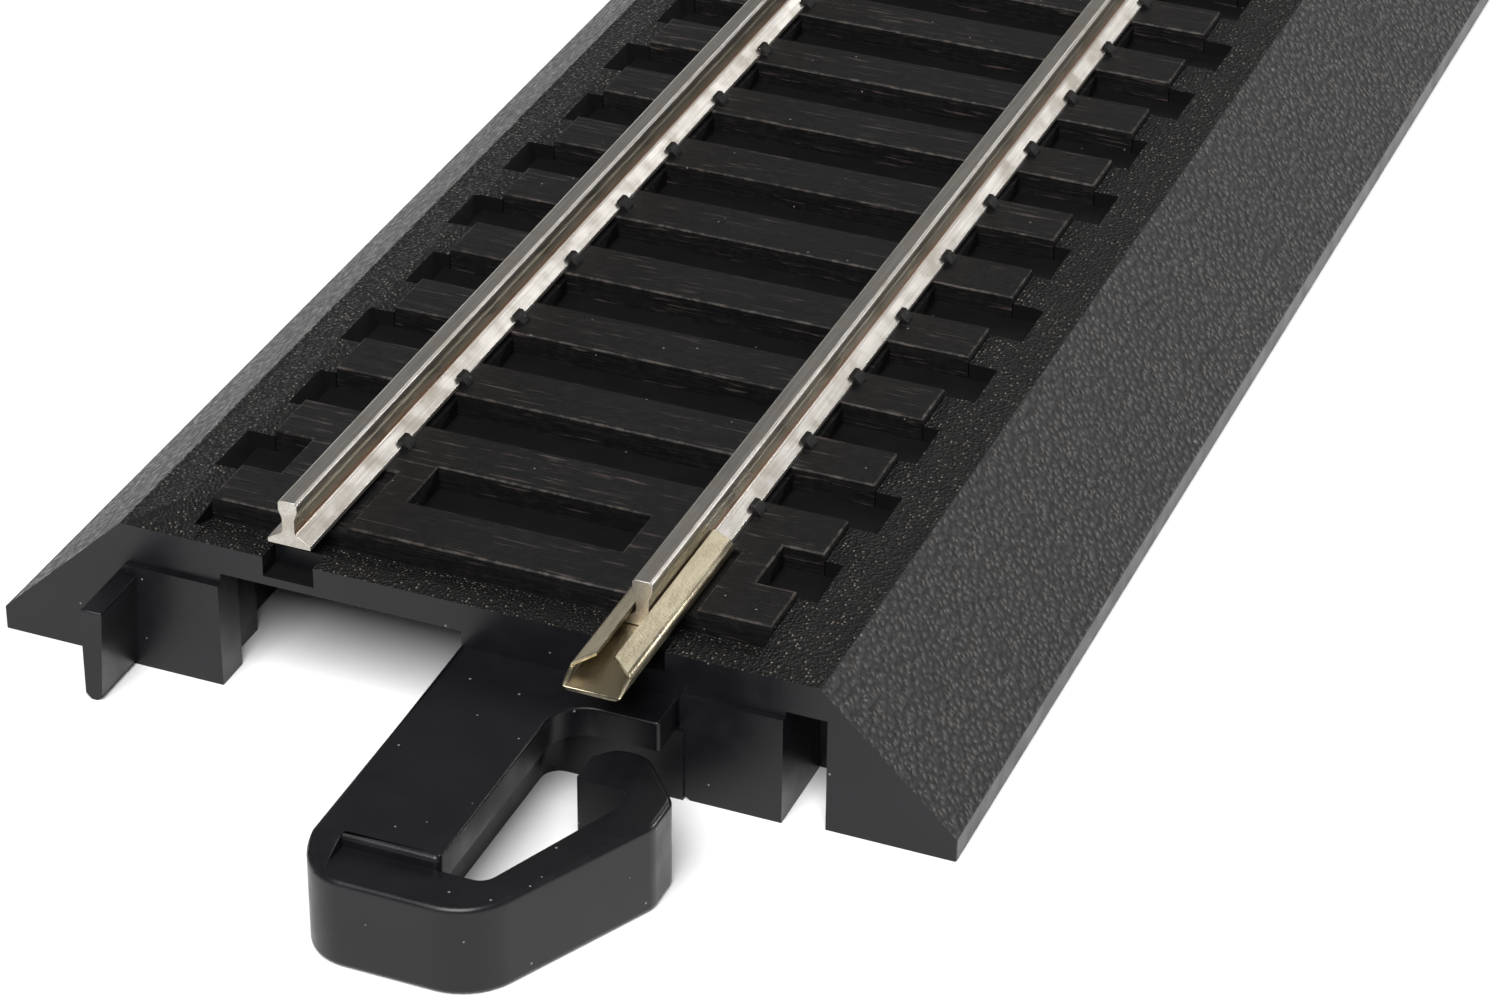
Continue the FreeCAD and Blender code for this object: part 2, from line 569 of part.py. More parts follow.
def main():
    os.makedirs("parts", exist_ok=True)
    export("roadbed", roadbed())
    export("sleeper_strip", sleeper_strip())
    right_rail = rail_right()
    export("rail_right", right_rail)
    export("rail_left", turned(right_rail))
    front_joiner = joiner()
    export("joiner_front", front_joiner)
    export("joiner_rear", turned(front_joiner))
    front_arm = at_front(latch_arm())
    export("latch_arm_front", front_arm)
    export("latch_arm_rear", turned(front_arm))


main()
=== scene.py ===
"""Looks of a straight model-railway track section: a grained plastic roadbed whose two ends snap
into the next section, a strip of moulded sleepers, two drawn rails and two folded rail joiners.
Metres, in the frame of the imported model: X across the track, Y along it, Z up."""
import json
import math

import bmesh
import bpy
from mathutils import Euler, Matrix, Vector


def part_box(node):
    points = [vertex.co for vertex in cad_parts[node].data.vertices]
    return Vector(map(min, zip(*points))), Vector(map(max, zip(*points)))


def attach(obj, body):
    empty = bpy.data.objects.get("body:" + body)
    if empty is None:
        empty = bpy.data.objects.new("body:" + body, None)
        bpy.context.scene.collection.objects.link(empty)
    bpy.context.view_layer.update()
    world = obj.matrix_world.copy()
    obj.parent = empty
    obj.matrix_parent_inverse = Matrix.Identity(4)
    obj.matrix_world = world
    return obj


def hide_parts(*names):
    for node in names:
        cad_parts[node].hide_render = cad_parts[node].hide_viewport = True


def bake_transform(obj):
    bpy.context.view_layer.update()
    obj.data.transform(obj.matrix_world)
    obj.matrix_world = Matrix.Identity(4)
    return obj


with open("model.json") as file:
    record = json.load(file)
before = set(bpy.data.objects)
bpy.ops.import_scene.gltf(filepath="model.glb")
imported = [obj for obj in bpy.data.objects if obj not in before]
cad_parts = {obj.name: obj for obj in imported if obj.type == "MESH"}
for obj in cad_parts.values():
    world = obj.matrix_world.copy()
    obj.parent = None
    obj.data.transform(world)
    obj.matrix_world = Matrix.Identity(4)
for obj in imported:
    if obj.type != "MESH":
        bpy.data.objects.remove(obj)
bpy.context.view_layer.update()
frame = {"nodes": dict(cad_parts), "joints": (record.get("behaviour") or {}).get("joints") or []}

bl_info = {
    "name": "Straight Track Section",
    "version": (1, 0, 0),
    "blender": (4, 5, 0),
    "location": "3D View > Sidebar > Track",
    "description": "Surfaces, rounded edges and stage of a straight track section with roadbed",
    "category": "Object",
}

MM = 0.001

# ---- places read from the frame -----------------------------------------------------------------
ROADBED_LOW, ROADBED_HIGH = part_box("roadbed")
RAIL_LOW, RAIL_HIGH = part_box("rail_right")
END_FACE = RAIL_HIGH.y + 0.25 * MM      # the free rail end stands a quarter millimetre inside it
DECK_TOP = 7.55 * MM
TRAY_FLOOR = 7.05 * MM
SLEEPER_TOP = RAIL_LOW.z
CREST_X = 17.45 * MM
FOOT_LIP = 1.2 * MM                     # the upright band along the foot of each shoulder
SLEEPER_BAY_X = 16.2 * MM               # the tray's pockets end inside this, either side
END_BAND = 2.9 * MM                     # deck left whole between the end face and the tray
TRAY_WALL = 1.2 * MM                    # depth of the tray and its chamfers under the deck
CLOSE = 0.02 * MM                       # how far a face may lie off the plane that it is told by
RIM_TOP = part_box("latch_arm_front")[1].z
HOLE_CENTRE = Vector((6.9, -10.5, 0.0)) * MM        # of the tongue's loop, from the end face
OUTLINE_REACH = 10.9 * MM                           # the outline of the loop lies this near it
ROOT_REACH = 2.3 * MM                               # the tongue's right root leaves the loop here
ROOT_X = 1 * MM
BAR_START = 0.45 * MM                               # the raised bar begins this far in front of the end
BAR_RISE = 0.1 * MM                                 # and stands more than this over the loop's rim
NOSE_SPLIT = Vector((6.05, -14.9, 0.0)) * MM        # where the latch arm's piece starts, beside the bar
NOSE_REACH = 6 * MM                                 # how far back from there the arm's side is sought
KNUCKLE = (1.13 * MM, 1.21 * MM)                    # the hairline gap lies between these radii
GAP_WELD = 0.07 * MM                                # and its rims are welded when this near
SHORT_EDGE = 0.4 * MM                               # a sleeper's top edge this short stays sharp


def linear(colour):
    """An sRGB hex colour such as 0x3a3735 as scene-linear red, green, blue and alpha."""
    channels = [(colour >> shift & 255) / 255 for shift in (16, 8, 0)]
    return [c / 12.92 if c <= 0.04045 else ((c + 0.055) / 1.055) ** 2.4 for c in channels] + [1.0]


def cells(size):
    """Scale of a noise or Voronoi texture whose features are this many millimetres across."""
    return 1 / (size * MM)


# ---- materials ----------------------------------------------------------------------------------
def add(tree, kind, sockets=None, **settings):
    """Add a node: settings are its own properties, sockets are values, or nodes and outputs to link."""
    node = tree.nodes.new(kind)
    for name, value in settings.items():
        setattr(node, name, value)
    for key, value in (sockets or {}).items():
        if isinstance(value, bpy.types.Node):
            value = value.outputs[0]
        if isinstance(value, bpy.types.NodeSocket):
            tree.links.new(value, node.inputs[key])
        else:
            node.inputs[key].default_value = value
    return node


def start_material(name):
    """A new material: its node tree, its principled shader and its object coordinates."""
    material = bpy.data.materials.new(name)
    material.use_nodes = True
    tree = material.node_tree
    place = add(tree, "ShaderNodeTexCoord").outputs["Object"]
    return material, tree, tree.nodes["Principled BSDF"], place


def noise(tree, place, size, detail=2.0, roughness=0.5):
    return add(tree, "ShaderNodeTexNoise", {"Vector": place, "Scale": cells(size), "Detail": detail,
                                            "Roughness": roughness})


def bump(tree, height, depth, below=None):
    """Relief of this many millimetres; below is a coarser bump under it."""
    sockets = {"Height": height, "Distance": depth * MM, "Strength": 1.0}
    if below is not None:
        sockets["Normal"] = below
    return add(tree, "ShaderNodeBump", sockets)


def ramp(tree, value, low, high, low_to=0.0, high_to=1.0):
    """Value taken smoothly from low_to at low to high_to at high."""
    return add(tree, "ShaderNodeMapRange", {"Value": value, "From Min": low, "From Max": high,
                                            "To Min": low_to, "To Max": high_to},
               interpolation_type="SMOOTHSTEP")


def math_node(tree, operation, first, second=0.0):
    return add(tree, "ShaderNodeMath", {0: first, 1: second}, operation=operation)


def blend(tree, share, first, second):
    """Colour between two hex colours or colour sockets."""
    ends = [linear(c) if isinstance(c, int) else c for c in (first, second)]
    return add(tree, "ShaderNodeMix", {0: share, 6: ends[0], 7: ends[1]}, data_type="RGBA").outputs[2]


def specks(tree, place, spacing, size):
    """Dust: a dot of this size in some of the cells of this spacing, in millimetres."""
    dots = add(tree, "ShaderNodeTexVoronoi", {"Vector": place, "Scale": cells(spacing)})
    return ramp(tree, dots.outputs["Distance"], size / spacing, 0.6 * size / spacing)


def ballast_grain():
    """ABS moulded in a spark-eroded mould: grains 0.4 mm across that stand close together and shine
    on their tops, coloured paler there as a painted highlight, with near-black painted shade in the
    valleys between them."""
    material, tree, shader, place = start_material("abs_ballast_grain")
    swirl = add(tree, "ShaderNodeVectorMath", {0: noise(tree, place, 0.9).outputs["Color"], 3: 0.25 * MM},
                operation="SCALE")
    moved = add(tree, "ShaderNodeVectorMath", {0: place, 1: swirl}, operation="ADD")
    grain = add(tree, "ShaderNodeTexVoronoi", {"Vector": moved, "Scale": cells(0.40)})
    dome = math_node(tree, "SUBTRACT", 1.0, grain.outputs["Distance"])
    coarse = bump(tree, noise(tree, place, 1.1, 3.0), 0.10)
    relief = bump(tree, dome, 0.24, coarse)
    fine = bump(tree, noise(tree, place, 0.11), 0.010, relief)
    patch = noise(tree, place, 3.0, 4.0, 0.6)
    tone = blend(tree, ramp(tree, patch, 0.35, 0.65), 0x1c1916, 0x2a2622)
    # painted highlight and shade: grain tops take the paler tone, the valleys near-black 0x060505
    top = ramp(tree, dome, 0.45, 0.75)
    tree.links.new(blend(tree, top, 0x060505, tone), shader.inputs["Base Color"])
    tree.links.new(ramp(tree, dome, 0.4, 0.8, 0.60, 0.28).outputs[0], shader.inputs["Roughness"])
    tree.links.new(fine.outputs[0], shader.inputs["Normal"])
    shader.inputs["IOR"].default_value = 1.54
    return material


def deck_grit():
    """The same ABS where the mould was etched finer: grit 0.2 mm across, darker than the shoulder,
    with a painted glint, a pale colour on the tip of a grain, here and there."""
    material, tree, shader, place = start_material("abs_deck_grit")
    grit = add(tree, "ShaderNodeTexVoronoi", {"Vector": place, "Scale": cells(0.20)})
    peak = ramp(tree, grit.outputs["Distance"], 0.8, 0.05)
    relief = bump(tree, peak, 0.12, bump(tree, noise(tree, place, 0.7, 3.0), 0.05))
    chosen = ramp(tree, add(tree, "ShaderNodeSeparateColor", {0: grit.outputs["Color"]}), 0.62, 0.85)
    # painted glint: a pale colour on the tips of some grains
    glint = math_node(tree, "MULTIPLY", chosen, ramp(tree, grit.outputs["Distance"], 0.34, 0.16))
    tone = blend(tree, ramp(tree, noise(tree, place, 2.4, 4.0), 0.35, 0.65), 0x070606, 0x0d0c0b)
    tree.links.new(blend(tree, glint, tone, 0x746a61), shader.inputs["Base Color"])
    tree.links.new(ramp(tree, peak, 0.1, 0.9, 0.6, 0.34).outputs[0], shader.inputs["Roughness"])
    tree.links.new(relief.outputs[0], shader.inputs["Normal"])
    shader.inputs["IOR"].default_value = 1.33
    return material


def satin_abs():
    """ABS against a polished mould: an even satin black, faintly blue, with a little dust."""
    material, tree, shader, place = start_material("abs_satin_smooth")
    dust = specks(tree, place, 1.1, 0.07)
    flow = noise(tree, place, 6.0, 3.0)
    tone = blend(tree, ramp(tree, flow, 0.35, 0.65), 0x0c0b0e, 0x100f13)
    tree.links.new(blend(tree, dust, tone, 0x77757a), shader.inputs["Base Color"])
    tree.links.new(ramp(tree, noise(tree, place, 1.5, 4.0), 0.3, 0.7, 0.30, 0.40).outputs[0],
                   shader.inputs["Roughness"])
    relief = bump(tree, noise(tree, place, 0.16, 2.0), 0.0035)
    tree.links.new(relief.outputs[0], shader.inputs["Normal"])
    shader.inputs["IOR"].default_value = 1.40
    return material


def tray_abs_painted_shade():
    """ABS at the bottom of the tray, moulded dull, with lint in its corners; its nearly black colour,
    darker than the satin ABS, is painted shade of the tray.
    """
    material, tree, shader, place = start_material("abs_tray_painted_shade")
    lint = specks(tree, place, 1.9, 0.07)
    # painted shade: a tone darker than the satin ABS, for the recess of the tray
    tone = blend(tree, ramp(tree, noise(tree, place, 2.0, 3.0), 0.35, 0.65), 0x060607, 0x0b0a0a)
    tree.links.new(blend(tree, lint, tone, 0x4d4a48), shader.inputs["Base Color"])
    tree.links.new(bump(tree, noise(tree, place, 0.3, 3.0), 0.010).outputs[0], shader.inputs["Normal"])
    shader.inputs["Roughness"].default_value = 0.7
    shader.inputs["IOR"].default_value = 1.25
    return material


def moulded_acetal(name, low, high, scratch_share):
    """Acetal moulded with a shallow wood grain along each sleeper, scratched and a little dusty."""
    material, tree, shader, place = start_material(name)
    stretched = add(tree, "ShaderNodeMapping", {"Vector": place, "Scale": (0.06, 1.0, 1.0)})
    grain = noise(tree, stretched, 0.19, 5.0, 0.65)
    relief = bump(tree, grain, 0.05, bump(tree, noise(tree, stretched, 0.8, 2.0), 0.06))
    fine = bump(tree, noise(tree, place, 0.12), 0.008, relief)
    tone = blend(tree, ramp(tree, noise(tree, place, 0.6, 4.0, 0.7), 0.42, 0.66), low, high)
    scratch = math_node(tree, "MULTIPLY", ramp(tree, grain, 0.58, 0.70), scratch_share)
    scratched = blend(tree, scratch, tone, 0x5a504c)
    dusty = blend(tree, specks(tree, place, 1.2, 0.06), scratched, 0x77716c)
    tree.links.new(dusty, shader.inputs["Base Color"])
    tree.links.new(ramp(tree, grain, 0.3, 0.7, 0.60, 0.42).outputs[0], shader.inputs["Roughness"])
    tree.links.new(fine.outputs[0], shader.inputs["Normal"])
    shader.inputs["IOR"].default_value = 1.33
    return material


def sleeper_plastic():
    """The sleepers' faces, nearly black."""
    return moulded_acetal("acetal_wood_grain", 0x0a0909, 0x121010, 0.5)


def sleeper_edge_wear_and_highlight():
    """The sleepers' rounded top edges, paler in places: rubbed, and a painted highlight along them."""
    # paler edge colour: wear, and a painted highlight along the rounded edges
    return moulded_acetal("acetal_rubbed_edge_and_highlight", 0x141211, 0x3f3a36, 0.6)


def nickel_silver():
    """Drawn nickel silver rail: fine lines along it, a rubbed satin head, and brown on the web as a
    painted reflection of the sleepers, browner toward the foot.
    """
    material, tree, shader, place = start_material("nickel_silver_drawn")
    drawn = add(tree, "ShaderNodeMapping", {"Vector": place, "Scale": (1.0, 0.02, 1.0)})
    lines = noise(tree, drawn, 0.10, 3.0, 0.6)
    tarnish = noise(tree, place, 2.2, 4.0, 0.6)
    height = add(tree, "ShaderNodeSeparateXYZ", {0: place}).outputs["Z"]
    over_foot = ramp(tree, height, SLEEPER_TOP + 0.66 * MM, SLEEPER_TOP + 0.80 * MM)
    under_head = ramp(tree, height, RAIL_HIGH.z - 0.18 * MM, RAIL_HIGH.z - 0.40 * MM)
    facing = add(tree, "ShaderNodeNewGeometry").outputs["True Normal"]
    endwise = math_node(tree, "ABSOLUTE", add(tree, "ShaderNodeSeparateXYZ", {0: facing}).outputs["Y"])
    flank = math_node(tree, "MULTIPLY", under_head, ramp(tree, endwise, 0.8, 0.4))
    web = math_node(tree, "MULTIPLY", over_foot, flank)
    root = ramp(tree, height, SLEEPER_TOP + 1.25 * MM, SLEEPER_TOP + 0.7 * MM)
    clean = blend(tree, ramp(tree, lines, 0.3, 0.7), 0xb3afa9, 0xccc8c1)
    rubbed = blend(tree, ramp(tree, tarnish, 0.45, 0.7, 0.0, 0.5), clean, 0x9a8f7e)
    # painted reflection of the sleepers: brown on the web's flanks, browner toward the foot
    web_painted_reflection = blend(tree, root, 0x86806f, 0x8f6a50)
    tree.links.new(blend(tree, web, rubbed, web_painted_reflection), shader.inputs["Base Color"])
    tree.links.new(ramp(tree, tarnish, 0.35, 0.7, 0.34, 0.44).outputs[0], shader.inputs["Roughness"])
    relief = bump(tree, lines, 0.005, bump(tree, noise(tree, place, 0.13, 2.0), 0.006))
    tree.links.new(relief.outputs[0], shader.inputs["Normal"])
    shader.inputs["Metallic"].default_value = 1.0
    return material


def plated_sheet():
    """Nickel-plated phosphor bronze sheet, folded: warm grey, faintly mottled, paler on its floor as
    painted light on the upward-facing faces.
    """
    material, tree, shader, place = start_material("phosphor_bronze_plated")
    rolled = add(tree, "ShaderNodeMapping", {"Vector": place, "Scale": (1.0, 0.2, 1.0)})
    mottle = noise(tree, rolled, 0.4, 4.0, 0.6)
    clean = blend(tree, ramp(tree, mottle, 0.35, 0.65), 0x938a75, 0xb5ab93)
    height = add(tree, "ShaderNodeSeparateXYZ", {0: place}).outputs["Z"]
    outer = add(tree, "ShaderNodeNewGeometry").outputs["True Normal"]
    upward = add(tree, "ShaderNodeSeparateXYZ", {0: outer}).outputs["Z"]
    # painted light: upward-facing faces low in the joiner are coloured paler
    painted_light_on_floor = math_node(tree, "MULTIPLY", ramp(tree, upward, 0.93, 0.98),
                       ramp(tree, height, SLEEPER_TOP + 0.06 * MM, SLEEPER_TOP))
    tone = blend(tree, painted_light_on_floor, clean, 0xb0a48c)
    tree.links.new(tone, shader.inputs["Base Color"])
    tree.links.new(ramp(tree, mottle, 0.3, 0.7, 0.30, 0.38).outputs[0], shader.inputs["Roughness"])
    relief = bump(tree, noise(tree, place, 0.12, 2.0), 0.014)
    tree.links.new(relief.outputs[0], shader.inputs["Normal"])
    shader.inputs["Metallic"].default_value = 1.0
    return material


def studio_paper():
    """Matt white card under the object."""
    material, tree, shader, place = start_material("card_matt_white")
    tree.links.new(blend(tree, noise(tree, place, 40.0), 0xf2f2f2, 0xf5f5f5), shader.inputs["Base Color"])
    shader.inputs["Roughness"].default_value = 0.9
    return material


# ---- modelling ----------------------------------------------------------------------------------
def flatten(bm):
    """Make one face of the triangles that lie in one plane."""
    bmesh.ops.dissolve_limit(bm, angle_limit=math.radians(0.5), verts=bm.verts, edges=bm.edges)


def merged_copy(*nodes):
    """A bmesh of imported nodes: their loose triangles merged, and flat ones made one face."""
    bm = bmesh.new()
    for node in nodes:
        bm.from_mesh(frame["nodes"][node].data)
    bmesh.ops.remove_doubles(bm, verts=bm.verts, dist=0.002 * MM)
    flatten(bm)
    return bm


def sharp_edges(bm, wanted, least=math.radians(25)):
    """Outward edges sharper than the least angle whose middle is wanted."""
    found = []
    for edge in bm.edges:
        if len(edge.link_faces) != 2 or edge.calc_face_angle_signed(0.0) < least:
            continue
        if wanted((edge.verts[0].co + edge.verts[1].co) / 2, edge):
            found.append(edge)
    return found


def round_off(bm, edges, width, segments=2):
    """Round the edges and return the faces of the rounding."""
    done = bmesh.ops.bevel(bm, geom=edges, offset=width, offset_type="OFFSET", affect="EDGES",
                           segments=segments, profile=0.5, material=-1, clamp_overlap=False,
                           loop_slide=True)
    return done["faces"]


def make_piece(bm, name, nodes, materials):
    """Make the object, with its finish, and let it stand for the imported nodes."""
    bmesh.ops.recalc_face_normals(bm, faces=bm.faces)
    mesh = bpy.data.meshes.new(name)
    bm.to_mesh(mesh)
    bm.free()
    if mesh.has_custom_normals:
        mesh.attributes.remove(mesh.attributes["custom_normal"])
    mesh.shade_smooth()
    mesh.set_sharp_from_angle(angle=math.radians(46))
    for material in materials:
        mesh.materials.append(material)
    piece = bpy.data.objects.new(name, mesh)
    bpy.context.scene.collection.objects.link(piece)
    even = piece.modifiers.new("Even_shading", "WEIGHTED_NORMAL")
    even.keep_sharp = True
    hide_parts(*nodes)
    return piece


def material_once(maker):
    """The material of this maker, made the first time it is asked for."""
    name = "made_" + maker.__name__
    found = bpy.context.scene.get(name)
    if found and found in bpy.data.materials:
        return bpy.data.materials[found]
    material = maker()
    bpy.context.scene[name] = material.name
    return material


# ---- roadbed and latch arms ---------------------------------------------------------------------
SMOOTH, SHOULDER, GRIT, TRAY = range(4)


def roadbed_finish(face):
    """Which of the roadbed's finishes a face has, from where it is and which way it looks."""
    middle = face.calc_center_median()
    across, along = abs(middle.x), abs(middle.y)
    if along > END_FACE + CLOSE or middle.z < FOOT_LIP:
        return SMOOTH
    if 0.5 < face.normal.z < 0.85 and abs(face.normal.x) > 0.5 and across > CREST_X:
        return SHOULDER
    if face.normal.z < 0.3:
        return TRAY if middle.z > TRAY_FLOOR and along < END_FACE - 0.5 * MM else SMOOTH
    in_tray = across < SLEEPER_BAY_X and along < END_FACE - END_BAND
    if middle.z < TRAY_FLOOR + CLOSE or (in_tray and face.normal.z < 0.95):
        return TRAY if middle.z > DECK_TOP - TRAY_WALL else SMOOTH
    return GRIT if middle.z > TRAY_FLOOR else SMOOTH


def on_crest(middle, edge):
    """Whether an edge runs along either crest, between the deck and the shoulder."""
    beside = abs(abs(middle.x) - CREST_X) < 0.1 * MM and middle.z > DECK_TOP - 0.1 * MM
    return beside and abs(edge.verts[0].co.y - edge.verts[1].co.y) > MM


def at_end(end, place):
    """Where a place given from the front end face lies, or the same place at the rear end."""
    turn = 1 if end == "front" else -1
    return Vector((turn * place.x, turn * (place.y - END_FACE), place.z))


def knuckle_axis(end):
    """Where the latch arm of that end bends, from its joint."""
    joint = next(j for j in frame["joints"] if j["child"] == "latch_arm_" + end)
    return Vector(joint["pos_m"])


def close_knuckle(bm, end):
    """Join a latch arm to the nose: take out both walls of the hairline gap and bridge their rims."""
    axis = knuckle_axis(end)

    def in_gap(vert):
        return KNUCKLE[0] < (vert.co - axis).xy.length < KNUCKLE[1]

    walls = [face for face in bm.faces if all(in_gap(vert) for vert in face.verts)]
    bmesh.ops.delete(bm, geom=walls, context="FACES")
    rims = [edge for edge in bm.edges if edge.is_boundary and all(in_gap(vert) for vert in edge.verts)]
    bmesh.ops.bridge_loops(bm, edges=rims)
    near = [vert for vert in bm.verts if in_gap(vert)]
    bmesh.ops.remove_doubles(bm, verts=near, dist=GAP_WELD)


def from_end(end, at):
    """The reverse of at_end."""
    turn = 1 if end == "front" else -1
    return Vector((turn * at.x, turn * at.y + END_FACE, at.z))


def on_outline(end, edge):
    """Whether an edge runs round the outside of the tongue, along its top or its bottom."""
    middle = from_end(end, (edge.verts[0].co + edge.verts[1].co) / 2)
    away = middle - HOLE_CENTRE
    if away.xy.length > OUTLINE_REACH or (middle.y > -ROOT_REACH and middle.x > ROOT_X):
        return False
    if 0.01 * MM < middle.z < RIM_TOP - 0.01 * MM:
        return False
    upright = min(edge.link_faces, key=lambda face: abs(face.normal.z))
    level = max(edge.link_faces, key=lambda face: abs(face.normal.z))
    outwards = upright.normal * (1 if end == "front" else -1)
    return abs(level.normal.z) > 0.5 and outwards.dot(away) > 0


def take_arm(bm, end):
    """Cut the nose beside the bar and return the arm's side as a bmesh of its own; both are closed."""
    cut = at_end(end, NOSE_SPLIT)
    turn = 1 if end == "front" else -1
    nose = [face for face in bm.faces if any(turn * vert.co.y < turn * cut.y for vert in face.verts)]
    geometry = nose + list({e for f in nose for e in f.edges}) + list({v for f in nose for v in f.verts})
    bmesh.ops.bisect_plane(bm, geom=geometry, dist=1e-9, plane_co=cut, plane_no=(turn, 0, 0))
    found = {max(bm.faces, key=lambda face: turn * face.calc_center_median().x
                 if turn * face.calc_center_median().y < turn * cut.y + NOSE_REACH else -1)}
    open_faces = list(found)
    while open_faces:
        for edge in open_faces.pop().edges:
            if all(abs(vert.co.x - cut.x) < 1e-7 for vert in edge.verts):
                continue
            for face in edge.link_faces:
                if face not in found:
                    found.add(face)
                    open_faces.append(face)
    bm.faces.index_update()
    chosen = {face.index for face in found}
    arm = bm.copy()
    for part, taken in ((bm, True), (arm, False)):
        part.faces.ensure_lookup_table()
        unwanted = [face for face in part.faces if (face.index in chosen) == taken]
        bmesh.ops.delete(part, geom=unwanted, context="FACES")
        loose = [face for face in part.faces if all(edge.is_boundary for edge in face.edges)]
        bmesh.ops.delete(part, geom=loose, context="FACES")
        bmesh.ops.holes_fill(part, edges=[edge for edge in part.edges if edge.is_boundary])
    return arm


class TrackRoadbedSizes(bpy.types.PropertyGroup):
    """Rounding of the roadbed's edges."""
    rim_edge: bpy.props.FloatProperty(
        name="Loop Edge", description="Rounding of the outer edges of the coupling tongue's loop",
        default=0.30 * MM, min=0.02 * MM, max=0.5 * MM, unit="LENGTH", precision=5)
    tongue_edge: bpy.props.FloatProperty(
        name="Tongue Edge", description="Rounding of the tongue's bar and of the key",
        default=0.12 * MM, min=0.02 * MM, max=0.25 * MM, unit="LENGTH", precision=5)
    body_edge: bpy.props.FloatProperty(
        name="Body Edge", description="Rounding of the crest, the foot and the end faces",
        default=0.08 * MM, min=0.02 * MM, max=0.15 * MM, unit="LENGTH", precision=5)


class TRACK_OT_roadbed(bpy.types.Operator):
    """Round the roadbed and both latch arms, and give them their moulded finishes"""
    bl_idname = "track.roadbed"
    bl_label = "Roadbed and Latch Arms"

    def execute(self, context):
        sizes = context.scene.track_roadbed
        finishes = [material_once(m) for m in (satin_abs, ballast_grain, deck_grit, tray_abs_painted_shade)]
        bm = merged_copy("roadbed", "latch_arm_front", "latch_arm_rear")
        for end in ("front", "rear"):
            close_knuckle(bm, end)
        flatten(bm)
        outline = sharp_edges(bm, lambda at, edge: on_outline("front" if at.y < 0 else "rear", edge))
        round_off(bm, outline, sizes.rim_edge, 3)
        bar = sharp_edges(bm, lambda at, edge: abs(at.y) > END_FACE + BAR_START
                          and at.z > RIM_TOP + BAR_RISE)
        round_off(bm, bar, sizes.tongue_edge, 3)
        crest = sharp_edges(bm, on_crest)
        feet = sharp_edges(bm, lambda at, edge: abs(at.x) > ROADBED_HIGH.x - CLOSE)
        round_off(bm, crest + feet, sizes.body_edge)
        for face in bm.faces:
            face.material_index = roadbed_finish(face)
        for end, turn in (("front", 1), ("rear", -1)):
            arm = make_piece(take_arm(bm, end), "Latch_arm_" + end, ["latch_arm_" + end],
                             finishes)
            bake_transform(arm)
        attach(make_piece(bm, "Roadbed", ["roadbed"], finishes), "track")
        return {"FINISHED"}


class TrackSleeperSizes(bpy.types.PropertyGroup):
    """Rounding of the sleeper strip."""
    edge: bpy.props.FloatProperty(
        name="Sleeper Edge", description="Rounding of the sleepers' top edges",
        default=0.10 * MM, min=0.02 * MM, max=0.2 * MM, unit="LENGTH", precision=5)


class TRACK_OT_sleepers(bpy.types.Operator):
    """Round the sleeper strip's edges and give it its wood grain"""
    bl_idname = "track.sleepers"
    bl_label = "Sleeper Strip"

    def execute(self, context):
        bm = merged_copy("sleeper_strip")
        tops = sharp_edges(bm, lambda at, edge: abs(at.z - SLEEPER_TOP) < CLOSE
                           and edge.calc_length() > SHORT_EDGE)
        for face in round_off(bm, tops, context.scene.track_sleepers.edge):
            face.material_index = 1
        strip = make_piece(bm, "Sleeper_strip", ["sleeper_strip"],
                           [material_once(sleeper_plastic), material_once(sleeper_edge_wear_and_highlight)])
        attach(strip, "track")
        return {"FINISHED"}


class TrackRailSizes(bpy.types.PropertyGroup):
    """Rounding of the rails."""
    edge: bpy.props.FloatProperty(
        name="Rail Edge", description="Rounding of the drawn rail's edges",
        default=0.04 * MM, min=0.01 * MM, max=0.06 * MM, unit="LENGTH", precision=5)


class TRACK_OT_rails(bpy.types.Operator):
    """Round both rails' edges and give them their drawn metal"""
    bl_idname = "track.rails"
    bl_label = "Rails"

    def execute(self, context):
        for side in ("left", "right"):
            bm = merged_copy("rail_" + side)
            round_off(bm, sharp_edges(bm, lambda at, edge: True), context.scene.track_rails.edge)
            rail = make_piece(bm, "Rail_" + side, ["rail_" + side],
                              [material_once(nickel_silver)])
            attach(rail, "track")
        return {"FINISHED"}


class TrackJoinerSizes(bpy.types.PropertyGroup):
    """Rounding of the rail joiners."""
    edge: bpy.props.FloatProperty(
        name="Joiner Edge", description="Rounding of the folded sheet's cut edges",
        default=0.05 * MM, min=0.01 * MM, max=0.1 * MM, unit="LENGTH", precision=5)


class TRACK_OT_joiners(bpy.types.Operator):
    """Round both rail joiners' edges and give them their plated metal"""
    bl_idname = "track.joiners"
    bl_label = "Rail Joiners"

    def execute(self, context):
        for end in ("front", "rear"):
            bm = merged_copy("joiner_" + end)
            round_off(bm, sharp_edges(bm, lambda at, edge: True), context.scene.track_joiners.edge)
            joiner = make_piece(bm, "Joiner_" + end, ["joiner_" + end],
                                [material_once(plated_sheet)])
            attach(joiner, "joiner_" + end)
        return {"FINISHED"}


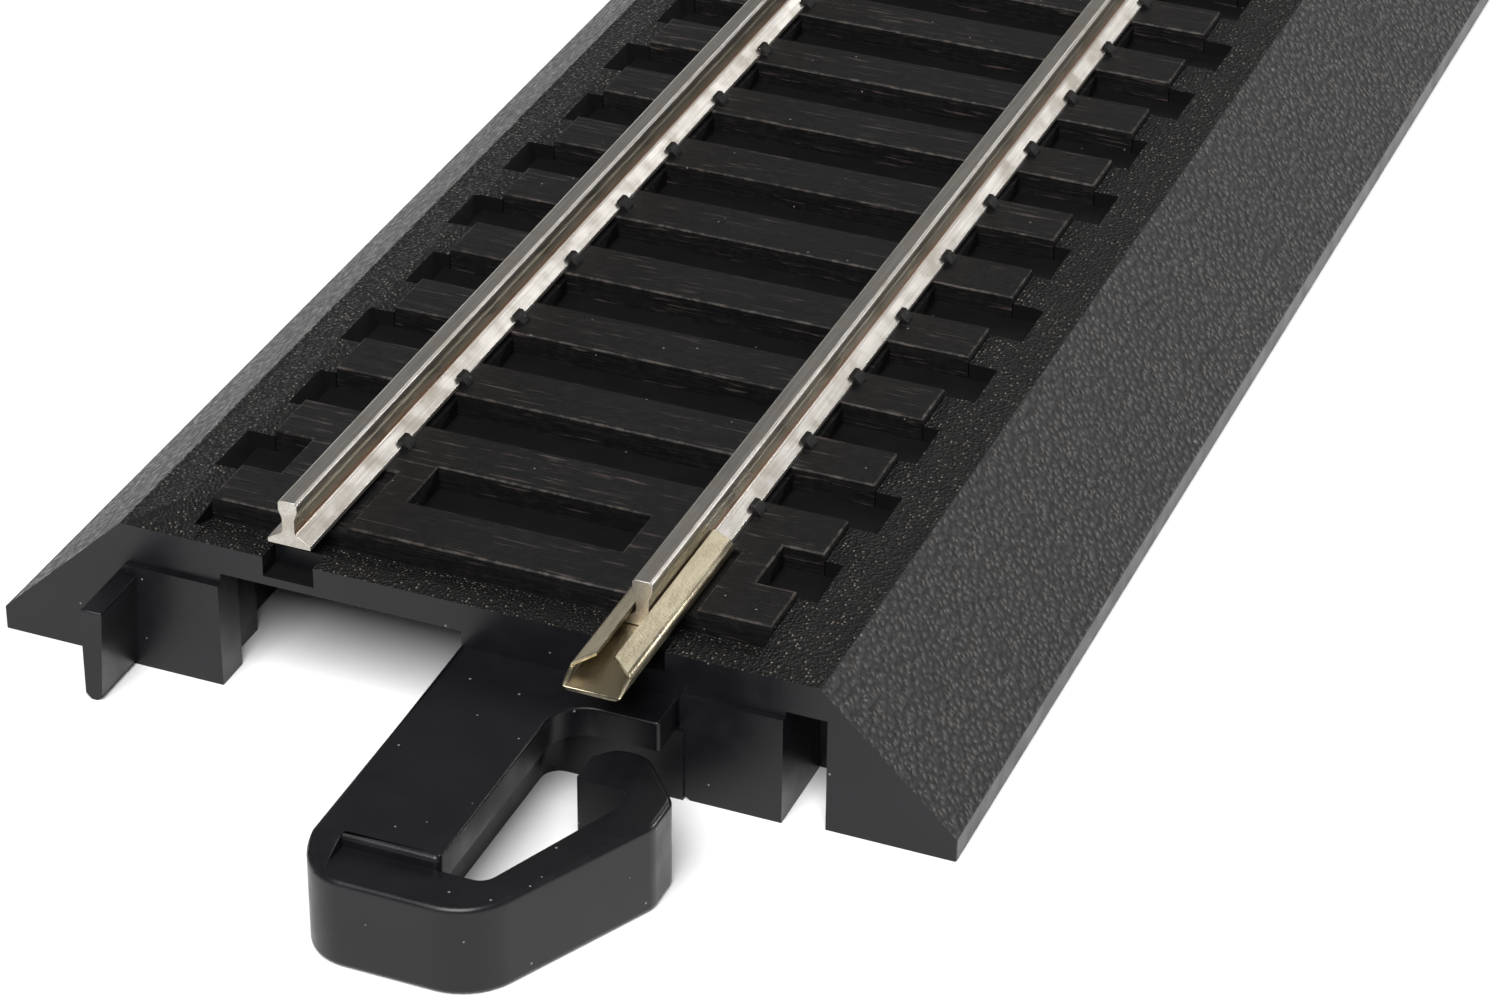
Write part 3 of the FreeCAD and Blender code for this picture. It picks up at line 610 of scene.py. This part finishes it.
# ---- stage --------------------------------------------------------------------------------------
class TrackStageSizes(bpy.types.PropertyGroup):
    """Camera, lights and floor."""
    camera_place: bpy.props.FloatVectorProperty(
        name="Camera Place", description="Where the camera stands",
        default=(0.07552, -0.26782, 0.12017), subtype="TRANSLATION", unit="LENGTH", precision=5)
    camera_turn: bpy.props.FloatVectorProperty(
        name="Camera Turn", description="How the camera is turned",
        default=[math.radians(a) for a in (57.940, -0.509, 22.173)], subtype="EULER", unit="ROTATION")
    lens: bpy.props.FloatProperty(
        name="Lens", description="Focal length on a 36 mm sensor", default=108.58, unit="CAMERA")
    floor_size: bpy.props.FloatProperty(
        name="Floor Size", description="Side of the card under the object", default=6.0, unit="LENGTH")
    key_light: bpy.props.FloatProperty(
        name="Key Light", description="Power of the large light in front", default=19.0, unit="POWER")
    back_light: bpy.props.FloatProperty(
        name="Back Light", description="Power of the soft panel behind", default=2.0, unit="POWER")
    low_light: bpy.props.FloatProperty(
        name="Low Light", description="Power of the panel low at the left", default=0.8, unit="POWER")
    side_light: bpy.props.FloatProperty(
        name="Side Light", description="Power of the small lamp at the right", default=1.8, unit="POWER")
    surround: bpy.props.FloatProperty(
        name="Surround", description="Brightness of the room around", default=0.20, min=0.0)


def soft_light(name, place, size, power):
    """A square area light that points at the middle of the object."""
    light = bpy.data.lights.new(name, "AREA")
    light.size = size
    light.energy = power
    lamp = bpy.data.objects.new(name, light)
    lamp.location = place
    lamp.rotation_euler = (-Vector(place)).to_track_quat("-Z", "Y").to_euler()
    bpy.context.scene.collection.objects.link(lamp)


class TRACK_OT_stage(bpy.types.Operator):
    """Lay the white card and set the lights, the surround and the camera"""
    bl_idname = "track.stage"
    bl_label = "Stage"

    def execute(self, context):
        scene, sizes = context.scene, context.scene.track_stage
        bm = bmesh.new()
        bmesh.ops.create_grid(bm, x_segments=1, y_segments=1, size=sizes.floor_size / 2)
        mesh = bpy.data.meshes.new("Floor")
        bm.to_mesh(mesh)
        bm.free()
        mesh.materials.append(material_once(studio_paper))
        floor = bpy.data.objects.new("Floor", mesh)
        scene.collection.objects.link(floor)
        soft_light("Key_light", (0.10, -0.72, 0.88), 0.7, sizes.key_light)
        soft_light("Back_light", (0.24, 1.00, 0.72), 0.45, sizes.back_light)
        soft_light("Low_light", (-0.85, 1.05, 0.16), 0.5, sizes.low_light)
        soft_light("Side_light", (0.62, 0.42, 0.26), 0.10, sizes.side_light)
        world = bpy.data.worlds.new("Surround")
        world.use_nodes = True
        background = world.node_tree.nodes["Background"]
        background.inputs["Color"].default_value = linear(0xffffff)
        background.inputs["Strength"].default_value = sizes.surround
        scene.world = world
        lens = bpy.data.cameras.new("Camera")
        lens.lens, lens.sensor_width = sizes.lens, 36.0
        lens.shift_x, lens.shift_y = 0.0014, -0.0011
        lens.clip_start, lens.clip_end = 0.01, 10.0
        camera = bpy.data.objects.new("Camera", lens)
        camera.location = sizes.camera_place
        camera.rotation_euler = Euler(sizes.camera_turn)
        scene.collection.objects.link(camera)
        scene.camera = camera
        scene.view_settings.view_transform = "Standard"
        return {"FINISHED"}


# ---- add-on -------------------------------------------------------------------------------------
GROUPS = {
    "track_roadbed": TrackRoadbedSizes,
    "track_sleepers": TrackSleeperSizes,
    "track_rails": TrackRailSizes,
    "track_joiners": TrackJoinerSizes,
    "track_stage": TrackStageSizes,
}
OPERATORS = (TRACK_OT_roadbed, TRACK_OT_sleepers, TRACK_OT_rails, TRACK_OT_joiners, TRACK_OT_stage)


class TRACK_PT_section(bpy.types.Panel):
    """Pieces of the track section"""
    bl_idname = "TRACK_PT_section"
    bl_label = "Track Section"
    bl_space_type = "VIEW_3D"
    bl_region_type = "UI"
    bl_category = "Track"

    def draw(self, context):
        for group, operator in zip(GROUPS, OPERATORS):
            box = self.layout.box()
            for name in GROUPS[group].__annotations__:
                box.prop(getattr(context.scene, group), name)
            box.operator(operator.bl_idname)


CLASSES = tuple(GROUPS.values()) + OPERATORS + (TRACK_PT_section,)


def register():
    for kind in CLASSES:
        bpy.utils.register_class(kind)
    for name, kind in GROUPS.items():
        setattr(bpy.types.Scene, name, bpy.props.PointerProperty(type=kind))


def unregister():
    for name in GROUPS:
        delattr(bpy.types.Scene, name)
    for kind in reversed(CLASSES):
        bpy.utils.unregister_class(kind)


def main():
    register()
    bpy.ops.track.roadbed()
    bpy.ops.track.sleepers()
    bpy.ops.track.rails()
    bpy.ops.track.joiners()
    bpy.ops.track.stage()


if __name__ == "__main__":
    main()
